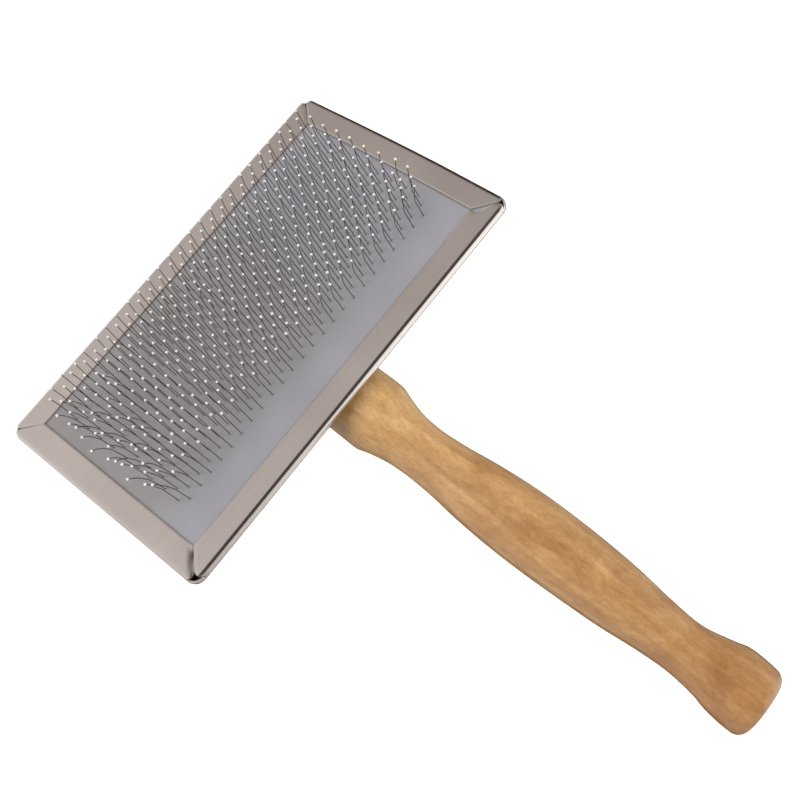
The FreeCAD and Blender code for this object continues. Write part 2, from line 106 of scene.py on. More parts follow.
# Millimetres: distance from the pan's near edge towards the butt, width, thickness, sideways offset.
HANDLE_STATIONS = [
    (-30.0, 15.3, 13.1, -0.5),
    (-10.0, 15.7, 13.5, -0.5),
    (0.0, 16.0, 13.6, -0.5),
    (2.4, 15.9, 13.5, -0.55),
    (2.6, 15.8, 13.5, -0.55),
    (4.9, 14.2, 12.6, -0.6),
    (7.4, 12.9, 11.8, -0.7),
    (10.0, 12.0, 11.2, -0.75),
    (14.4, 11.6, 10.9, -0.75),
    (20.4, 12.4, 11.5, -0.6),
    (27.0, 14.0, 12.6, -0.45),
    (34.0, 15.0, 13.3, -0.3),
    (42.0, 15.3, 13.6, -0.15),
    (53.0, 14.8, 13.2, 0.0),
    (62.0, 13.9, 12.5, 0.0),
    (70.0, 12.1, 11.2, 0.0),
    (77.5, 11.3, 10.6, 0.0),
    (84.0, 13.3, 12.0, 0.35),
    (87.3, 15.0, 13.0, 0.4),
    (91.4, 15.4, 13.3, 0.15),
    (95.9, 14.8, 13.0, -0.1),
]
HANDLE_END = HANDLE_STATIONS[-1][0]

# Millimetres that the first pin of a row leans outward at the left end, by the row's share of the way across.
LEFT_SPLAY = [(0.0, 2.3), (0.2, 2.7), (0.45, 3.3), (0.65, 3.1), (0.8, 2.2), (0.9, 0.9), (1.0, 0.2)]

pan_low, pan_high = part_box("head_pan")
pad_low, pad_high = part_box("rubber_pad")
HALF_LENGTH = pan_high.x
HALF_WIDTH = pan_high.y
PAN_TOP = pan_high.z
# The CAD pan came out slightly small: this is how far the visible one's outline reaches past it.
FULLER = 0.35 * MM
PAN_HALF_LENGTH = HALF_LENGTH + FULLER
PAN_HALF_WIDTH = HALF_WIDTH + FULLER
PAD_TOP = pad_high.z
# The pan's four sides. Ends are (seam, mouth, rounding, lens): lens is how far a gap opens beside the window.
# Rolls are (depth, length) beside each seam.
SIDES = [
    {
        "out": (0, -1), "along": (1, 0), "seed": 1.0, "bow": 0.05 * MM,
        "low_end": (0.05 * MM, 0.25 * MM, 1.3 * MM, 0.0),
        "high_end": (0.06 * MM, 0.1 * MM, 1.15 * MM, 1.5 * MM),
        "roll": {"low": (0.0, 2.0 * MM), "high": (0.0, 2.4 * MM)},
    },
    {
        "out": (1, 0), "along": (0, 1), "seed": 2.0, "bow": 0.0,
        "low_end": (0.06 * MM, 0.15 * MM, 1.15 * MM, 0.0),
        "high_end": (0.05 * MM, 0.25 * MM, 1.2 * MM, 0.0),
        "roll": {"low": (0.0, 2.0 * MM), "high": (0.0, 2.0 * MM)},
    },
    {
        "out": (0, 1), "along": (-1, 0), "seed": 3.0, "bow": 0.0,
        "low_end": (0.05 * MM, 0.25 * MM, 1.2 * MM, 0.0),
        "high_end": (0.02 * MM, 0.2 * MM, 1.2 * MM, 0.0),
        "roll": {"low": (0.0, 2.0 * MM), "high": (0.0, 2.0 * MM)},
    },
    {
        "out": (-1, 0), "along": (0, -1), "seed": 4.0, "bow": 0.0,
        "low_end": (0.02 * MM, 0.2 * MM, 1.2 * MM, 0.0),
        "high_end": (0.05 * MM, 0.2 * MM, 1.3 * MM, 0.0),
        "roll": {"low": (0.0, 2.0 * MM), "high": (0.5 * MM, 1.7 * MM)},
    },
]
LENS_LENGTH = 3.0 * MM
JOINTS = {joint["child"]: joint for joint in frame["joints"]}
ROWS = sorted(name.split("_")[-1] for name in frame["nodes"] if name.startswith("pin_row_"))


# ---------------------------------------------------------------- mesh helpers
def new_piece(name, vertices, faces, body=HEAD_BODY):
    """A smooth-shaded mesh object that rides on a body."""
    mesh = bpy.data.meshes.new(name)
    mesh.from_pydata([tuple(v) for v in vertices], [], faces)
    mesh.validate()
    mesh.shade_smooth()
    piece = bpy.data.objects.new(name, mesh)
    bpy.context.scene.collection.objects.link(piece)
    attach(piece, body)
    return piece


def grid_faces(rows, columns, start=0, closed=False):
    """Quads between rows of points. Closed joins the last column to the first."""
    faces = []
    last = columns if closed else columns - 1
    for row in range(rows - 1):
        for column in range(last):
            a = start + row * columns + column
            b = start + row * columns + (column + 1) % columns
            faces.append((a, b, b + columns, a + columns))
    return faces


def apply_modifiers(piece):
    """Replaces the piece's mesh with what its modifiers make of it."""
    depsgraph = bpy.context.evaluated_depsgraph_get()
    finished = bpy.data.meshes.new_from_object(piece.evaluated_get(depsgraph))
    piece.modifiers.clear()
    piece.data = finished


# ---------------------------------------------------------------- material helper
class Graph:
    """Adds shader nodes to a tree. Inputs may be numbers, colours or other nodes' outputs."""

    def __init__(self, tree):
        self.tree = tree

    def add(self, kind, inputs=None, **settings):
        node = self.tree.nodes.new(kind)
        for key, value in settings.items():
            setattr(node, key, value)
        self.feed(node, inputs or {})
        return node

    def feed(self, node, inputs):
        for key, value in inputs.items():
            if isinstance(value, bpy.types.NodeSocket):
                self.tree.links.new(value, node.inputs[key])
            else:
                node.inputs[key].default_value = value

    def noise(self, vector, scale, detail=2.0, roughness=0.5, distortion=0.0):
        inputs = {"Vector": vector, "Scale": scale, "Detail": detail}
        inputs |= {"Roughness": roughness, "Distortion": distortion}
        return self.add("ShaderNodeTexNoise", inputs).outputs["Fac"]

    def ramp(self, factor, *stops):
        """Colour ramp through (place, colour) stops."""
        node = self.add("ShaderNodeValToRGB", {"Fac": factor})
        ends = node.color_ramp.elements
        for element, (place, colour) in zip(ends, (stops[0], stops[-1])):
            element.position, element.color = place, colour
        for place, colour in stops[1:-1]:
            ends.new(place).color = colour
        return node.outputs["Color"]

    def scaled(self, factor, low, high):
        """Maps 0 to 1 onto low to high."""
        inputs = {"Value": factor, "To Min": low, "To Max": high}
        return self.add("ShaderNodeMapRange", inputs).outputs["Result"]

    def step(self, value, start, end):
        """Rises softly from 0 at start to 1 at end."""
        inputs = {"Value": value, "From Min": start, "From Max": end}
        return self.add("ShaderNodeMapRange", inputs, interpolation_type="SMOOTHSTEP").outputs["Result"]

    def mixed(self, factor, first, second, blend="MIX"):
        node = self.add("ShaderNodeMix", data_type="RGBA", blend_type=blend)
        self.feed(node, {0: factor, 6: first, 7: second})
        return node.outputs[2]

    def math(self, operation, first, second=0.0):
        return self.add("ShaderNodeMath", {0: first, 1: second}, operation=operation).outputs["Value"]

    def bump(self, height, distance, strength=1.0, normal=None):
        inputs = {"Height": height, "Distance": distance, "Strength": strength}
        if normal is not None:
            inputs["Normal"] = normal
        return self.add("ShaderNodeBump", inputs).outputs["Normal"]


class Paint(Graph):
    """One node material."""

    def __init__(self, name):
        self.material = bpy.data.materials.new(name)
        self.material.use_nodes = True
        super().__init__(self.material.node_tree)
        self.shader = self.tree.nodes["Principled BSDF"]
        self.place = self.add("ShaderNodeTexCoord").outputs["Object"]

    def stretched(self, scale):
        """Object coordinates scaled by (x, y, z), for grain that runs one way."""
        return self.add("ShaderNodeMapping", {"Vector": self.place, "Scale": scale}).outputs["Vector"]

    def finish(self, **inputs):
        self.feed(self.shader, {key.replace("_", " "): value for key, value in inputs.items()})
        return self.material


def grey(value, alpha=1.0):
    return (value, value, value, alpha)


# ---------------------------------------------------------------- materials
def steel_sheet_material():
    """Cold-rolled stainless: fine rolling lines along the sheet, cloudy reflections."""
    paint = Paint("stainless_sheet")
    cloud = paint.noise(paint.place, 38.0, 2.0)
    lines = paint.noise(paint.stretched((50.0, 1500.0, 1500.0)), 1.0, 2.0, 0.5)
    tint = paint.ramp(cloud, (0.25, (0.57, 0.53, 0.505, 1)), (0.75, (0.66, 0.625, 0.60, 1)))
    streaked = paint.mixed(paint.scaled(lines, 0.0, 0.10), tint, grey(0.42), "MULTIPLY")
    roughness = paint.scaled(lines, 0.20, 0.30)
    fine = paint.bump(lines, 0.002 * MM, 0.3)
    normal = paint.bump(cloud, 0.25 * MM, 0.35, fine)
    return paint.finish(
        Base_Color=streaked, Metallic=1.0, Roughness=roughness, Normal=normal, Anisotropic=0.35
    )


def cut_edge_material():
    """The sheared edge of the sheet: darker, torn along its lower half. Its dark colour is partly painted
    shade, for the thin shadow line where the flange's edge meets the pad.
    """
    paint = Paint("sheared_edge")
    torn = paint.noise(paint.stretched((1200.0, 1200.0, 5000.0)), 1.0, 3.0, 0.6)
    colour = paint.ramp(torn, (0.3, (0.30, 0.26, 0.23, 1)), (0.7, (0.46, 0.41, 0.38, 1)))
    return paint.finish(
        Base_Color=colour,
        Metallic=0.5,
        Roughness=paint.scaled(torn, 0.35, 0.6),
        Normal=paint.bump(torn, 0.02 * MM, 0.5),
    )


def rubber_material():
    """Matte blue-grey rubber with a fine moulded grain, browner between the pins: painted reflection of the
    warm wires, with some wear.
    """
    paint = Paint("pad_rubber")
    mottle = paint.noise(paint.place, 90.0, 3.0)
    grain = paint.noise(paint.place, 2600.0, 4.0, 0.65)
    bare = paint.ramp(mottle, (0.3, (0.178, 0.178, 0.192, 1)), (0.7, (0.200, 0.199, 0.214, 1)))
    # painted reflection: the browner tone among the pins stands in for warm light thrown back by the wires,
    # with some wear from handling
    wire_reflection_and_wear = paint.ramp(mottle, (0.3, (0.164, 0.156, 0.155, 1)), (0.7, (0.186, 0.177, 0.175, 1)))
    across = paint.add("ShaderNodeSeparateXYZ", {"Vector": paint.place}).outputs
    inner = paint.step(across["Y"], -20.0 * MM, -9.0 * MM)
    middle = paint.step(across["X"], 26.0 * MM, 4.0 * MM)
    colour = paint.mixed(paint.math("MULTIPLY", inner, middle), bare, wire_reflection_and_wear)
    speck = paint.mixed(paint.scaled(grain, 0.0, 0.25), colour, grey(0.2), "MULTIPLY")
    normal = paint.bump(grain, 0.02 * MM, 0.5)
    return paint.finish(
        Base_Color=speck, Roughness=paint.scaled(grain, 0.5, 0.68), Normal=normal, Specular_IOR_Level=0.4
    )


def wire_material():
    """Drawn steel wire, dark and slightly uneven along its length."""
    paint = Paint("pin_wire")
    drawn = paint.noise(paint.stretched((3000.0, 3000.0, 420.0)), 1.0, 3.0)
    colour = paint.ramp(drawn, (0.3, (0.085, 0.070, 0.062, 1)), (0.7, (0.145, 0.122, 0.110, 1)))
    normal = paint.bump(drawn, 0.01 * MM, 0.4)
    return paint.finish(
        Base_Color=colour, Metallic=1.0, Roughness=paint.scaled(drawn, 0.28, 0.42), Normal=normal
    )


def bead_material():
    """Glossy white resin, a little uneven, slightly translucent."""
    paint = Paint("tip_plastic")
    uneven = paint.noise(paint.place, 1400.0, 2.0)
    colour = paint.ramp(uneven, (0.3, (0.45, 0.445, 0.435, 1)), (0.7, (0.54, 0.53, 0.52, 1)))
    normal = paint.bump(uneven, 0.05 * MM, 0.3)
    return paint.finish(
        Base_Color=colour,
        Roughness=paint.scaled(uneven, 0.16, 0.28),
        Normal=normal,
        Subsurface_Weight=0.15,
        Subsurface_Scale=0.0004,
    )


def wood_material():
    """Light beech-like wood under thin satin lacquer: long soft grain, short dark flecks, darker patches."""
    paint = Paint("lacquered_wood")
    along = paint.add("ShaderNodeMapping", {"Vector": paint.place, "Rotation": (-HANDLE_RAKE, 0, 0)})
    grain_space = along.outputs["Vector"]

    def stretch(scale):
        return paint.add("ShaderNodeMapping", {"Vector": grain_space, "Scale": scale}).outputs["Vector"]

    bands = paint.noise(stretch((300.0, 34.0, 300.0)), 1.0, 4.0, 0.6, 1.1)
    patches = paint.noise(stretch((130.0, 75.0, 130.0)), 1.0, 4.0, 0.62, 0.8)
    fibres = paint.noise(stretch((1700.0, 560.0, 1700.0)), 1.0, 5.0, 0.72, 0.5)
    flecks = paint.noise(stretch((2600.0, 1150.0, 2600.0)), 1.0, 2.0, 0.5)
    base = paint.ramp(
        bands,
        (0.28, (0.262, 0.138, 0.048, 1)),
        (0.5, (0.318, 0.181, 0.070, 1)),
        (0.72, (0.378, 0.231, 0.100, 1)),
    )
    shade = paint.ramp(patches, (0.34, (0.74, 0.64, 0.52, 1)), (0.64, (1.08, 1.10, 1.14, 1)))
    patched = paint.mixed(0.8, base, shade, "MULTIPLY")
    fibre_tint = (0.83, 0.79, 0.73, 1)
    fibred = paint.mixed(paint.step(fibres, 0.36, 0.66), patched, fibre_tint, "MULTIPLY")
    # painted light and shade: lighter at the neck, which stood nearer the light, and browner at the butt, as
    # painted shade
    length = paint.add("ShaderNodeSeparateXYZ", {"Vector": paint.place}).outputs["Y"]
    neck_painted_light = paint.mixed(paint.step(length, -48.0 * MM, -30.0 * MM), fibred, (1.12, 1.20, 1.20, 1), "MULTIPLY")
    darker = paint.step(length, -96.0 * MM, -114.0 * MM)
    lit_and_shaded_wood = paint.mixed(darker, neck_painted_light, (0.88, 0.80, 0.72, 1), "MULTIPLY")
    fleck_mask = paint.ramp(flecks, (0.56, grey(0.0)), (0.68, grey(1.0)))
    flecked = paint.mixed(paint.math("MULTIPLY", fleck_mask, 0.28), lit_and_shaded_wood, (0.15, 0.078, 0.030, 1))
    pores = paint.bump(fleck_mask, -0.03 * MM, 0.5)
    normal = paint.bump(fibres, 0.03 * MM, 0.35, pores)
    return paint.finish(
        Base_Color=flecked,
        Roughness=paint.scaled(fibres, 0.34, 0.5),
        Normal=normal,
        Coat_Weight=0.35,
        Coat_Roughness=0.22,
    )


def felt_material():
    """Grey pressed felt."""
    paint = Paint("felt")
    fibres = paint.noise(paint.stretched((900.0, 1500.0, 900.0)), 1.0, 5.0, 0.7, 1.2)
    colour = paint.ramp(fibres, (0.3, (0.16, 0.16, 0.17, 1)), (0.75, (0.38, 0.38, 0.39, 1)))
    return paint.finish(
        Base_Color=colour, Roughness=0.95, Normal=paint.bump(fibres, 0.2 * MM, 0.8), Sheen_Weight=0.3
    )


def cloth_material():
    """Plain-woven cotton: threads crossing over and under each other."""
    paint = Paint("cloth")
    threads = [
        paint.add(
            "ShaderNodeTexWave",
            {"Vector": paint.place, "Scale": 480.0, "Distortion": 0.4, "Detail": 1.0},
            bands_direction=direction,
        ).outputs["Fac"]
        for direction in ("X", "Y")
    ]
    weave = paint.math("MULTIPLY", threads[0], threads[1])
    colour = paint.ramp(weave, (0.0, (0.34, 0.31, 0.25, 1)), (0.6, (0.62, 0.58, 0.50, 1)))
    return paint.finish(Base_Color=colour, Roughness=0.9, Normal=paint.bump(weave, 0.08 * MM, 0.8))


def plated_steel_material():
    """Zinc-plated steel with a faint crystalline mottle."""
    paint = Paint("screw_steel")
    crystals = paint.add("ShaderNodeTexVoronoi", {"Vector": paint.place, "Scale": 1500.0}).outputs["Distance"]
    colour = paint.ramp(crystals, (0.0, (0.50, 0.51, 0.53, 1)), (0.8, (0.66, 0.66, 0.68, 1)))
    return paint.finish(
        Base_Color=colour,
        Metallic=1.0,
        Roughness=paint.scaled(crystals, 0.22, 0.38),
        Normal=paint.bump(crystals, 0.01 * MM, 0.3),
    )


# ---------------------------------------------------------------- pan
class FlangeEnd:
    """The mitred end of one side's flange: a straight cut that rounds into the outer bend."""

    def __init__(self, side_half, seam, mouth, radius, lens):
        self.window = side_half - FLANGE
        self.lens = lens
        self.seam = seam
        self.slope = 1.0 - (mouth - seam) / FLANGE
        self.radius = radius
        self.turn = FLANGE - radius
        lean = math.hypot(1.0, self.slope)
        self.centre = self.window - seam + self.slope * self.turn - radius * lean
        self.tangent = self.turn - radius * self.slope / lean

    def reach(self, outward):
        """How far along its side the flange runs, at this distance out from the window."""
        if outward <= self.tangent:
            opening = self.lens * math.sin(math.pi * min(1.0, outward / LENS_LENGTH)) ** 0.8
            return self.window - self.seam + self.slope * outward - opening
        across = min(1.0, max(-1.0, (outward - self.turn) / self.radius))
        return self.centre + self.radius * math.sqrt(1.0 - across * across)


def blend_curve(x):
    """Rises smoothly from 0 to 1 as x does."""
    x = min(1.0, max(0.0, x))
    return x * x * (3.0 - 2.0 * x)


def flange_profile():
    """(outward, height) points from the window's edge over the outer bend to the upper wall."""
    flat = FLANGE - OUTER_BEND
    points = [(flat * step / 10, PAN_TOP) for step in range(10)]
    for step in range(9):
        angle = math.radians(90 - 90 * step / 8)
        outward = flat + OUTER_BEND * math.cos(angle)
        points.append((outward, PAN_TOP - OUTER_BEND + OUTER_BEND * math.sin(angle)))
    return points


def flange_dip(side, along, outward, end_low, end_high):
    """How much the flange is pushed in at this place: it rolls down beside some of its seams and bows."""
    share = outward / FLANGE
    dip = side["bow"] * (1.0 - share) * math.sin(math.pi * (along - end_low) / (end_high - end_low))
    for end, distance in (("low", along - end_low), ("high", end_high - along)):
        depth, width = side["roll"][end]
        near = 1.0 - blend_curve(distance / width)
        middle = math.sin(math.pi * min(1.0, share * 1.15)) ** 0.7
        dip += depth * near * middle
    ripple = noise.noise(Vector((along * 55.0, outward * 90.0, side["seed"])))
    return dip + 0.05 * MM * ripple * (1.0 - share)


def out_of_true(point):
    """The folded pan isn't quite square: one corner is drawn in and the near edge is turned a little."""
    right = max(0.0, point.x / PAN_HALF_LENGTH)
    beyond = max(0.0, (point.y / PAN_HALF_WIDTH + 0.4) / 1.4)
    far = max(0.0, point.y / PAN_HALF_WIDTH)
    near = max(0.0, -point.y / PAN_HALF_WIDTH)
    x = point.x - 1.2 * MM * right * beyond**1.5
    y = point.y + 0.3 * MM * right * far + (0.17 + 0.38 * point.x / PAN_HALF_LENGTH) * MM * near
    return Vector((x, y, point.z))


def build_pan():
    """The folded sheet: its outer surface, given thickness inward by a modifier."""
    vertices, faces = [], []
    ring_top = PAN_TOP - OUTER_BEND - 0.05 * MM
    ring_bottom = OUTER_BEND
    corner = CORNER_RADIUS
    steps = 40
    arc_steps = 10
    ring = []
    corner_starts = []

    for side in SIDES:
        out, along = Vector(side["out"]), Vector(side["along"])
        half_out = PAN_HALF_WIDTH if abs(out.y) > 0.5 else PAN_HALF_LENGTH
        half_along = PAN_HALF_LENGTH if abs(out.y) > 0.5 else PAN_HALF_WIDTH
        ends = [FlangeEnd(half_along, *side[key]) for key in ("low_end", "high_end")]
        profile = flange_profile()
        start = len(vertices)
        for outward, height in profile:
            low, high = -ends[0].reach(outward), ends[1].reach(outward)
            for step in range(steps + 1):
                place = 0.5 - 0.5 * math.cos(math.pi * step / steps)
                spot = low + (high - low) * (0.5 * place + 0.5 * step / steps)
                dip = flange_dip(side, spot, outward, low, high)
                point = out * (half_out - FLANGE + outward) + along * spot
                vertices.append(Vector((point.x, point.y, height - dip)))
        faces += grid_faces(len(profile), steps + 1, start)
        last_row = list(range(len(vertices) - steps - 1, len(vertices)))

        # the wall's own top edge, level with the foot of the corner walls
        ring_row = []
        for index in last_row:
            vertex = vertices[index]
            ring_row.append(len(vertices))
            vertices.append(Vector((vertex.x, vertex.y, ring_top)))
        for a, b, c, d in zip(last_row, last_row[1:], ring_row[1:], ring_row):
            faces.append((a, b, c, d))
        edge_low = out * half_out - along * (half_along - corner)
        edge_high = out * half_out + along * (half_along - corner)
        ring.append((len(vertices), Vector((edge_low.x, edge_low.y, ring_top))))
        vertices.append(ring[-1][1])
        ring += [(index, vertices[index]) for index in ring_row]
        corner_starts.append(len(ring))
        ring.append((len(vertices), Vector((edge_high.x, edge_high.y, ring_top))))
        vertices.append(ring[-1][1])

        # round the corner to the next side
        centre = out * (half_out - corner) + along * (half_along - corner)
        for step in range(1, arc_steps):
            angle = math.radians(90 * step / arc_steps)
            point = centre + out * (corner * math.cos(angle)) + along * (corner * math.sin(angle))
            ring.append((len(vertices), Vector((point.x, point.y, ring_top))))
            vertices.append(ring[-1][1])

    # the near corners' own walls, which start to turn in with the outer bend and stop short of the flange
    top_angle = math.asin((CORNER_WALL - (PAN_TOP - OUTER_BEND)) / OUTER_BEND)
    for first in (corner_starts[0], corner_starts[3]):
        columns = [ring[(first + step) % len(ring)] for step in range(arc_steps + 1)]
        lower = [index for index, _ in columns]
        for turn in range(5):
            angle = top_angle * turn / 4
            level = PAN_TOP - OUTER_BEND + OUTER_BEND * math.sin(angle)
            inset = OUTER_BEND * (1 - math.cos(angle))
            upper = []
            for _, point in columns:
                upper.append(len(vertices))
                vertices.append(Vector((*inset_corner(point, inset), level)))
            for place in range(arc_steps):
                faces.append((upper[place], upper[place + 1], lower[place + 1], lower[place]))
            lower = upper

    rows = [[index for index, _ in ring]]
    tops = [point for _, point in ring]
    levels = [ring_top + (ring_bottom - ring_top) * step / 3 for step in (1, 2, 3)]
    inset_levels = [(0.0, level) for level in levels]
    for step in range(1, 7):
        angle = math.radians(90 * step / 6)
        inset_levels.append((OUTER_BEND * (1 - math.cos(angle)), OUTER_BEND * (1 - math.sin(angle))))
    for inset, level in inset_levels:
        row = []
        for point in tops:
            row.append(len(vertices))
            vertices.append(Vector((*inset_corner(point, inset), level)))
        rows.append(row)
    for upper, lower in zip(rows, rows[1:]):
        for place in range(len(upper)):
            after = (place + 1) % len(upper)
            faces.append((upper[place], upper[after], lower[after], lower[place]))
    faces.append(tuple(rows[-1]))

    pan = new_piece("pan_sheet", [out_of_true(vertex) for vertex in vertices], faces)
    pan.data.materials.append(MATERIALS["stainless_sheet"])
    pan.data.materials.append(cut_edge_material())
    thick = pan.modifiers.new("sheet", "SOLIDIFY")
    thick.thickness = SHEET
    thick.offset = 1.0
    thick.use_even_offset = True
    # the rim faces get the sheared-edge material, whose dark colour is partly painted shade
    thick.material_offset_rim = 1
    rounding = pan.modifiers.new("cut edges", "BEVEL")
    rounding.width = CUT_EDGE_ROUNDING
    rounding.segments = 2
    rounding.limit_method = "ANGLE"
    rounding.angle_limit = math.radians(50)
    apply_modifiers(pan)
    shade_by_angle(pan, 40)
    return pan


def inset_corner(point, inset):
    """Moves an outline point of the rounded rectangle inward by a distance."""
    corner_x = PAN_HALF_LENGTH - CORNER_RADIUS
    corner_y = PAN_HALF_WIDTH - CORNER_RADIUS
    core = Vector((max(-corner_x, min(corner_x, point.x)), max(-corner_y, min(corner_y, point.y))))
    arm = Vector((point.x - core.x, point.y - core.y))
    if arm.length < 1e-9:
        return point.x, point.y
    moved = core + arm * ((arm.length - inset) / arm.length)
    return moved.x, moved.y


def shade_by_angle(piece, degrees):
    """Smooth shading that stays crisp at edges sharper than the angle."""
    mesh = piece.data
    mesh.shade_smooth()
    mesh.set_sharp_from_angle(angle=math.radians(degrees))


# ---------------------------------------------------------------- layers inside the pan
def rounded_slab(name, half_x, half_y, bottom, top, corner, rim):
    """A thin slab with rounded corners and softly rounded rims."""
    outline = []
    for quarter in range(4):
        for step in range(7):
            angle = math.radians(90 * quarter + 90 * step / 6)
            sign_x = 1 if quarter in (0, 3) else -1
            sign_y = 1 if quarter in (0, 1) else -1
            centre = (sign_x * (half_x - corner), sign_y * (half_y - corner))
            outline.append((centre, (math.cos(angle), math.sin(angle))))
    vertices, faces = [], []
    rings = [(rim, bottom), (0.3 * rim, bottom + 0.3 * rim), (0.0, bottom + rim)]
    rings += [(0.0, top - rim), (0.3 * rim, top - 0.3 * rim), (rim, top)]
    for inset, level in rings:
        for centre, heading in outline:
            reach = corner - inset
            vertices.append((centre[0] + heading[0] * reach, centre[1] + heading[1] * reach, level))
    faces += grid_faces(len(rings), len(outline), closed=True)
    faces.append(tuple(reversed(range(len(outline)))))
    faces.append(tuple(range(len(vertices) - len(outline), len(vertices))))
    return new_piece(name, vertices, faces)


def round_corner(x, y, half_x, half_y, radius):
    """Pulls a point of a rectangle in to its rounded corner."""
    over_x, over_y = abs(x) - (half_x - radius), abs(y) - (half_y - radius)
    if over_x <= 0 or over_y <= 0:
        return x, y
    reach = math.hypot(over_x, over_y)
    keep = min(1.0, radius / reach)
    place_x = half_x - radius + over_x * keep
    place_y = half_y - radius + over_y * keep
    return math.copysign(place_x, x), math.copysign(place_y, y)


def build_rubber_pad(pins):
    """The rubber face: nearly flat, raised where each wire pushes through it."""
    half_x, half_y = pad_high.x, pad_high.y
    columns = int(2 * half_x / PAD_GRID) + 1
    rows = int(2 * half_y / PAD_GRID) + 1
    xs = np.linspace(-half_x, half_x, columns)
    ys = np.linspace(-half_y, half_y, rows)
    rise = np.zeros((rows, columns))
    for x, y in pins:
        i0, i1 = np.searchsorted(xs, [x - MM, x + MM])
        j0, j1 = np.searchsorted(ys, [y - 1.5 * MM, y + MM])
        gx, gy = np.meshgrid(xs[i0:i1] - x, ys[j0:j1] - y)
        mound = np.exp(-(gx**2 + (gy + 0.42 * MM) ** 2) / (0.34 * MM) ** 2)
        dimple = np.exp(-(gx**2 + (gy - 0.10 * MM) ** 2) / (0.24 * MM) ** 2)
        rise[j0:j1, i0:i1] += 0.17 * MM * mound - 0.18 * MM * dimple
    vertices = []
    for j, y in enumerate(ys):
        for i, x in enumerate(xs):
            swell = 0.03 * MM * noise.noise(Vector((x * 60.0, y * 60.0, 3.0)))
            place_x, place_y = round_corner(x, y, half_x, half_y, LAYER_CORNER)
            vertices.append((place_x, place_y, PAD_TOP - 0.04 * MM + swell + rise[j, i]))
    faces = grid_faces(rows, columns)
    edge = list(range(columns))
    edge += [j * columns + columns - 1 for j in range(1, rows)]
    edge += [(rows - 1) * columns + i for i in range(columns - 2, -1, -1)]
    edge += [j * columns for j in range(rows - 2, 0, -1)]
    bottom = []
    for index in edge:
        x, y, _ = vertices[index]
        bottom.append(len(vertices))
        vertices.append((x, y, pad_low.z))
    for place in range(len(edge)):
        after = (place + 1) % len(edge)
        faces.append((edge[after], edge[place], bottom[place], bottom[after]))
    faces.append(tuple(reversed(bottom)))
    return new_piece("rubber_face", vertices, faces)


# ---------------------------------------------------------------- pins
def pin_rows():
    """For each row: its name, the Y of its crowns, and the X of each of its pins."""
    rows = []
    for row in ROWS:
        low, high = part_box(f"tip_row_{row}")
        first, last = low.x + CAD_BEAD_RADIUS, high.x - CAD_BEAD_RADIUS
        count = round((last - first) / PIN_PITCH) + 1
        crown_y, crown_z = JOINTS[f"pins_{row}"]["pos_m"][1:]
        rows.append((row, crown_y, crown_z, [first + PIN_PITCH * pin for pin in range(count)]))
    return rows


def bent_pin(x, y, index, count, row_number, rows, row_splay, chance):
    """The middle line of one pin above the pad, and its tip. Each pin was bent a little differently."""
    lean_y = chance.gauss(0.0, 0.16 * MM)
    lean_x = chance.gauss(0.0, 0.17 * MM)
    # the pins at the left end splay outward, unevenly, and away from the handle in the near rows
    share = row_number / (rows - 1)
    splay = np.interp(share, *zip(*LEFT_SPLAY)) * MM
    from_left = math.exp(-index / 2.6)
    lean_x -= splay * from_left * row_splay
    lean_y += 2.0 * MM * (1.0 - share) ** 3 * math.exp(-index / 2.4)
    if index < 3:
        lean_y += chance.uniform(-0.6, 0.6) * MM
    # toward the right they lean back a little, most in the far rows
    from_right = math.exp(-((count - 1 - index) / 5.0) ** 2)
    lean_x -= 0.25 * MM + (0.15 + 1.0 * share) * MM * from_right
    if chance.random() < BENT_SHARE:
        lean_x += chance.choice((-1, 1)) * BENT_LEAN
    height = PIN_HEIGHT + chance.gauss(0.0, 0.10 * MM)
    knee = Vector((x + 0.22 * lean_x, y + KNEE_OUT + 0.3 * lean_y, PAD_TOP + KNEE_HEIGHT))
    tip = Vector((x + lean_x, y + TIP_BACK + lean_y, PAD_TOP + height))
    foot = Vector((x, y, PAD_TOP))
    line = [Vector((x, y, PAD_TOP - FOOT_DEPTH)), foot - Vector((0, 0, 0.25 * MM))]
    lower_out = knee - foot
    # straight up to just below the knee, a soft knee, then straight or gently curling to the tip
    line.append(foot + lower_out * 0.30)
    line.append(foot + lower_out * 0.66)
    upper = tip - knee
    curl = Vector((0.10 * lean_x, 0.10 * lean_y, 0.0)) - Vector((0, 0.10 * MM, 0))
    before, after = foot + lower_out * 0.80, knee + upper * 0.16
    for share in (0.15, 0.5, 0.85):
        a = before.lerp(knee, share)
        b = knee.lerp(after, share)
        line.append(a.lerp(b, share))
    for share in (0.3, 0.5, 0.7, 0.86, 1.0):
        spot = knee + upper * share
        line.append(spot - curl * math.sin(math.pi * (share - 0.16) / 0.84))
    line[-1] = tip
    return line


def tube(line, radius, sides, vertices, faces):
    """Adds a round tube along a line of points."""
    start = len(vertices)
    normal = Vector((1, 0, 0))
    for place, point in enumerate(line):
        before = line[max(place - 1, 0)]
        after = line[min(place + 1, len(line) - 1)]
        heading = (after - before).normalized()
        normal = (normal - heading * normal.dot(heading)).normalized()
        across = heading.cross(normal)
        for side in range(sides):
            angle = math.tau * side / sides
            vertices.append(point + (normal * math.cos(angle) + across * math.sin(angle)) * radius)
    faces += grid_faces(len(line), sides, start, closed=True)
    faces.append(tuple(reversed(range(start, start + sides))))
    faces.append(tuple(range(len(vertices) - sides, len(vertices))))


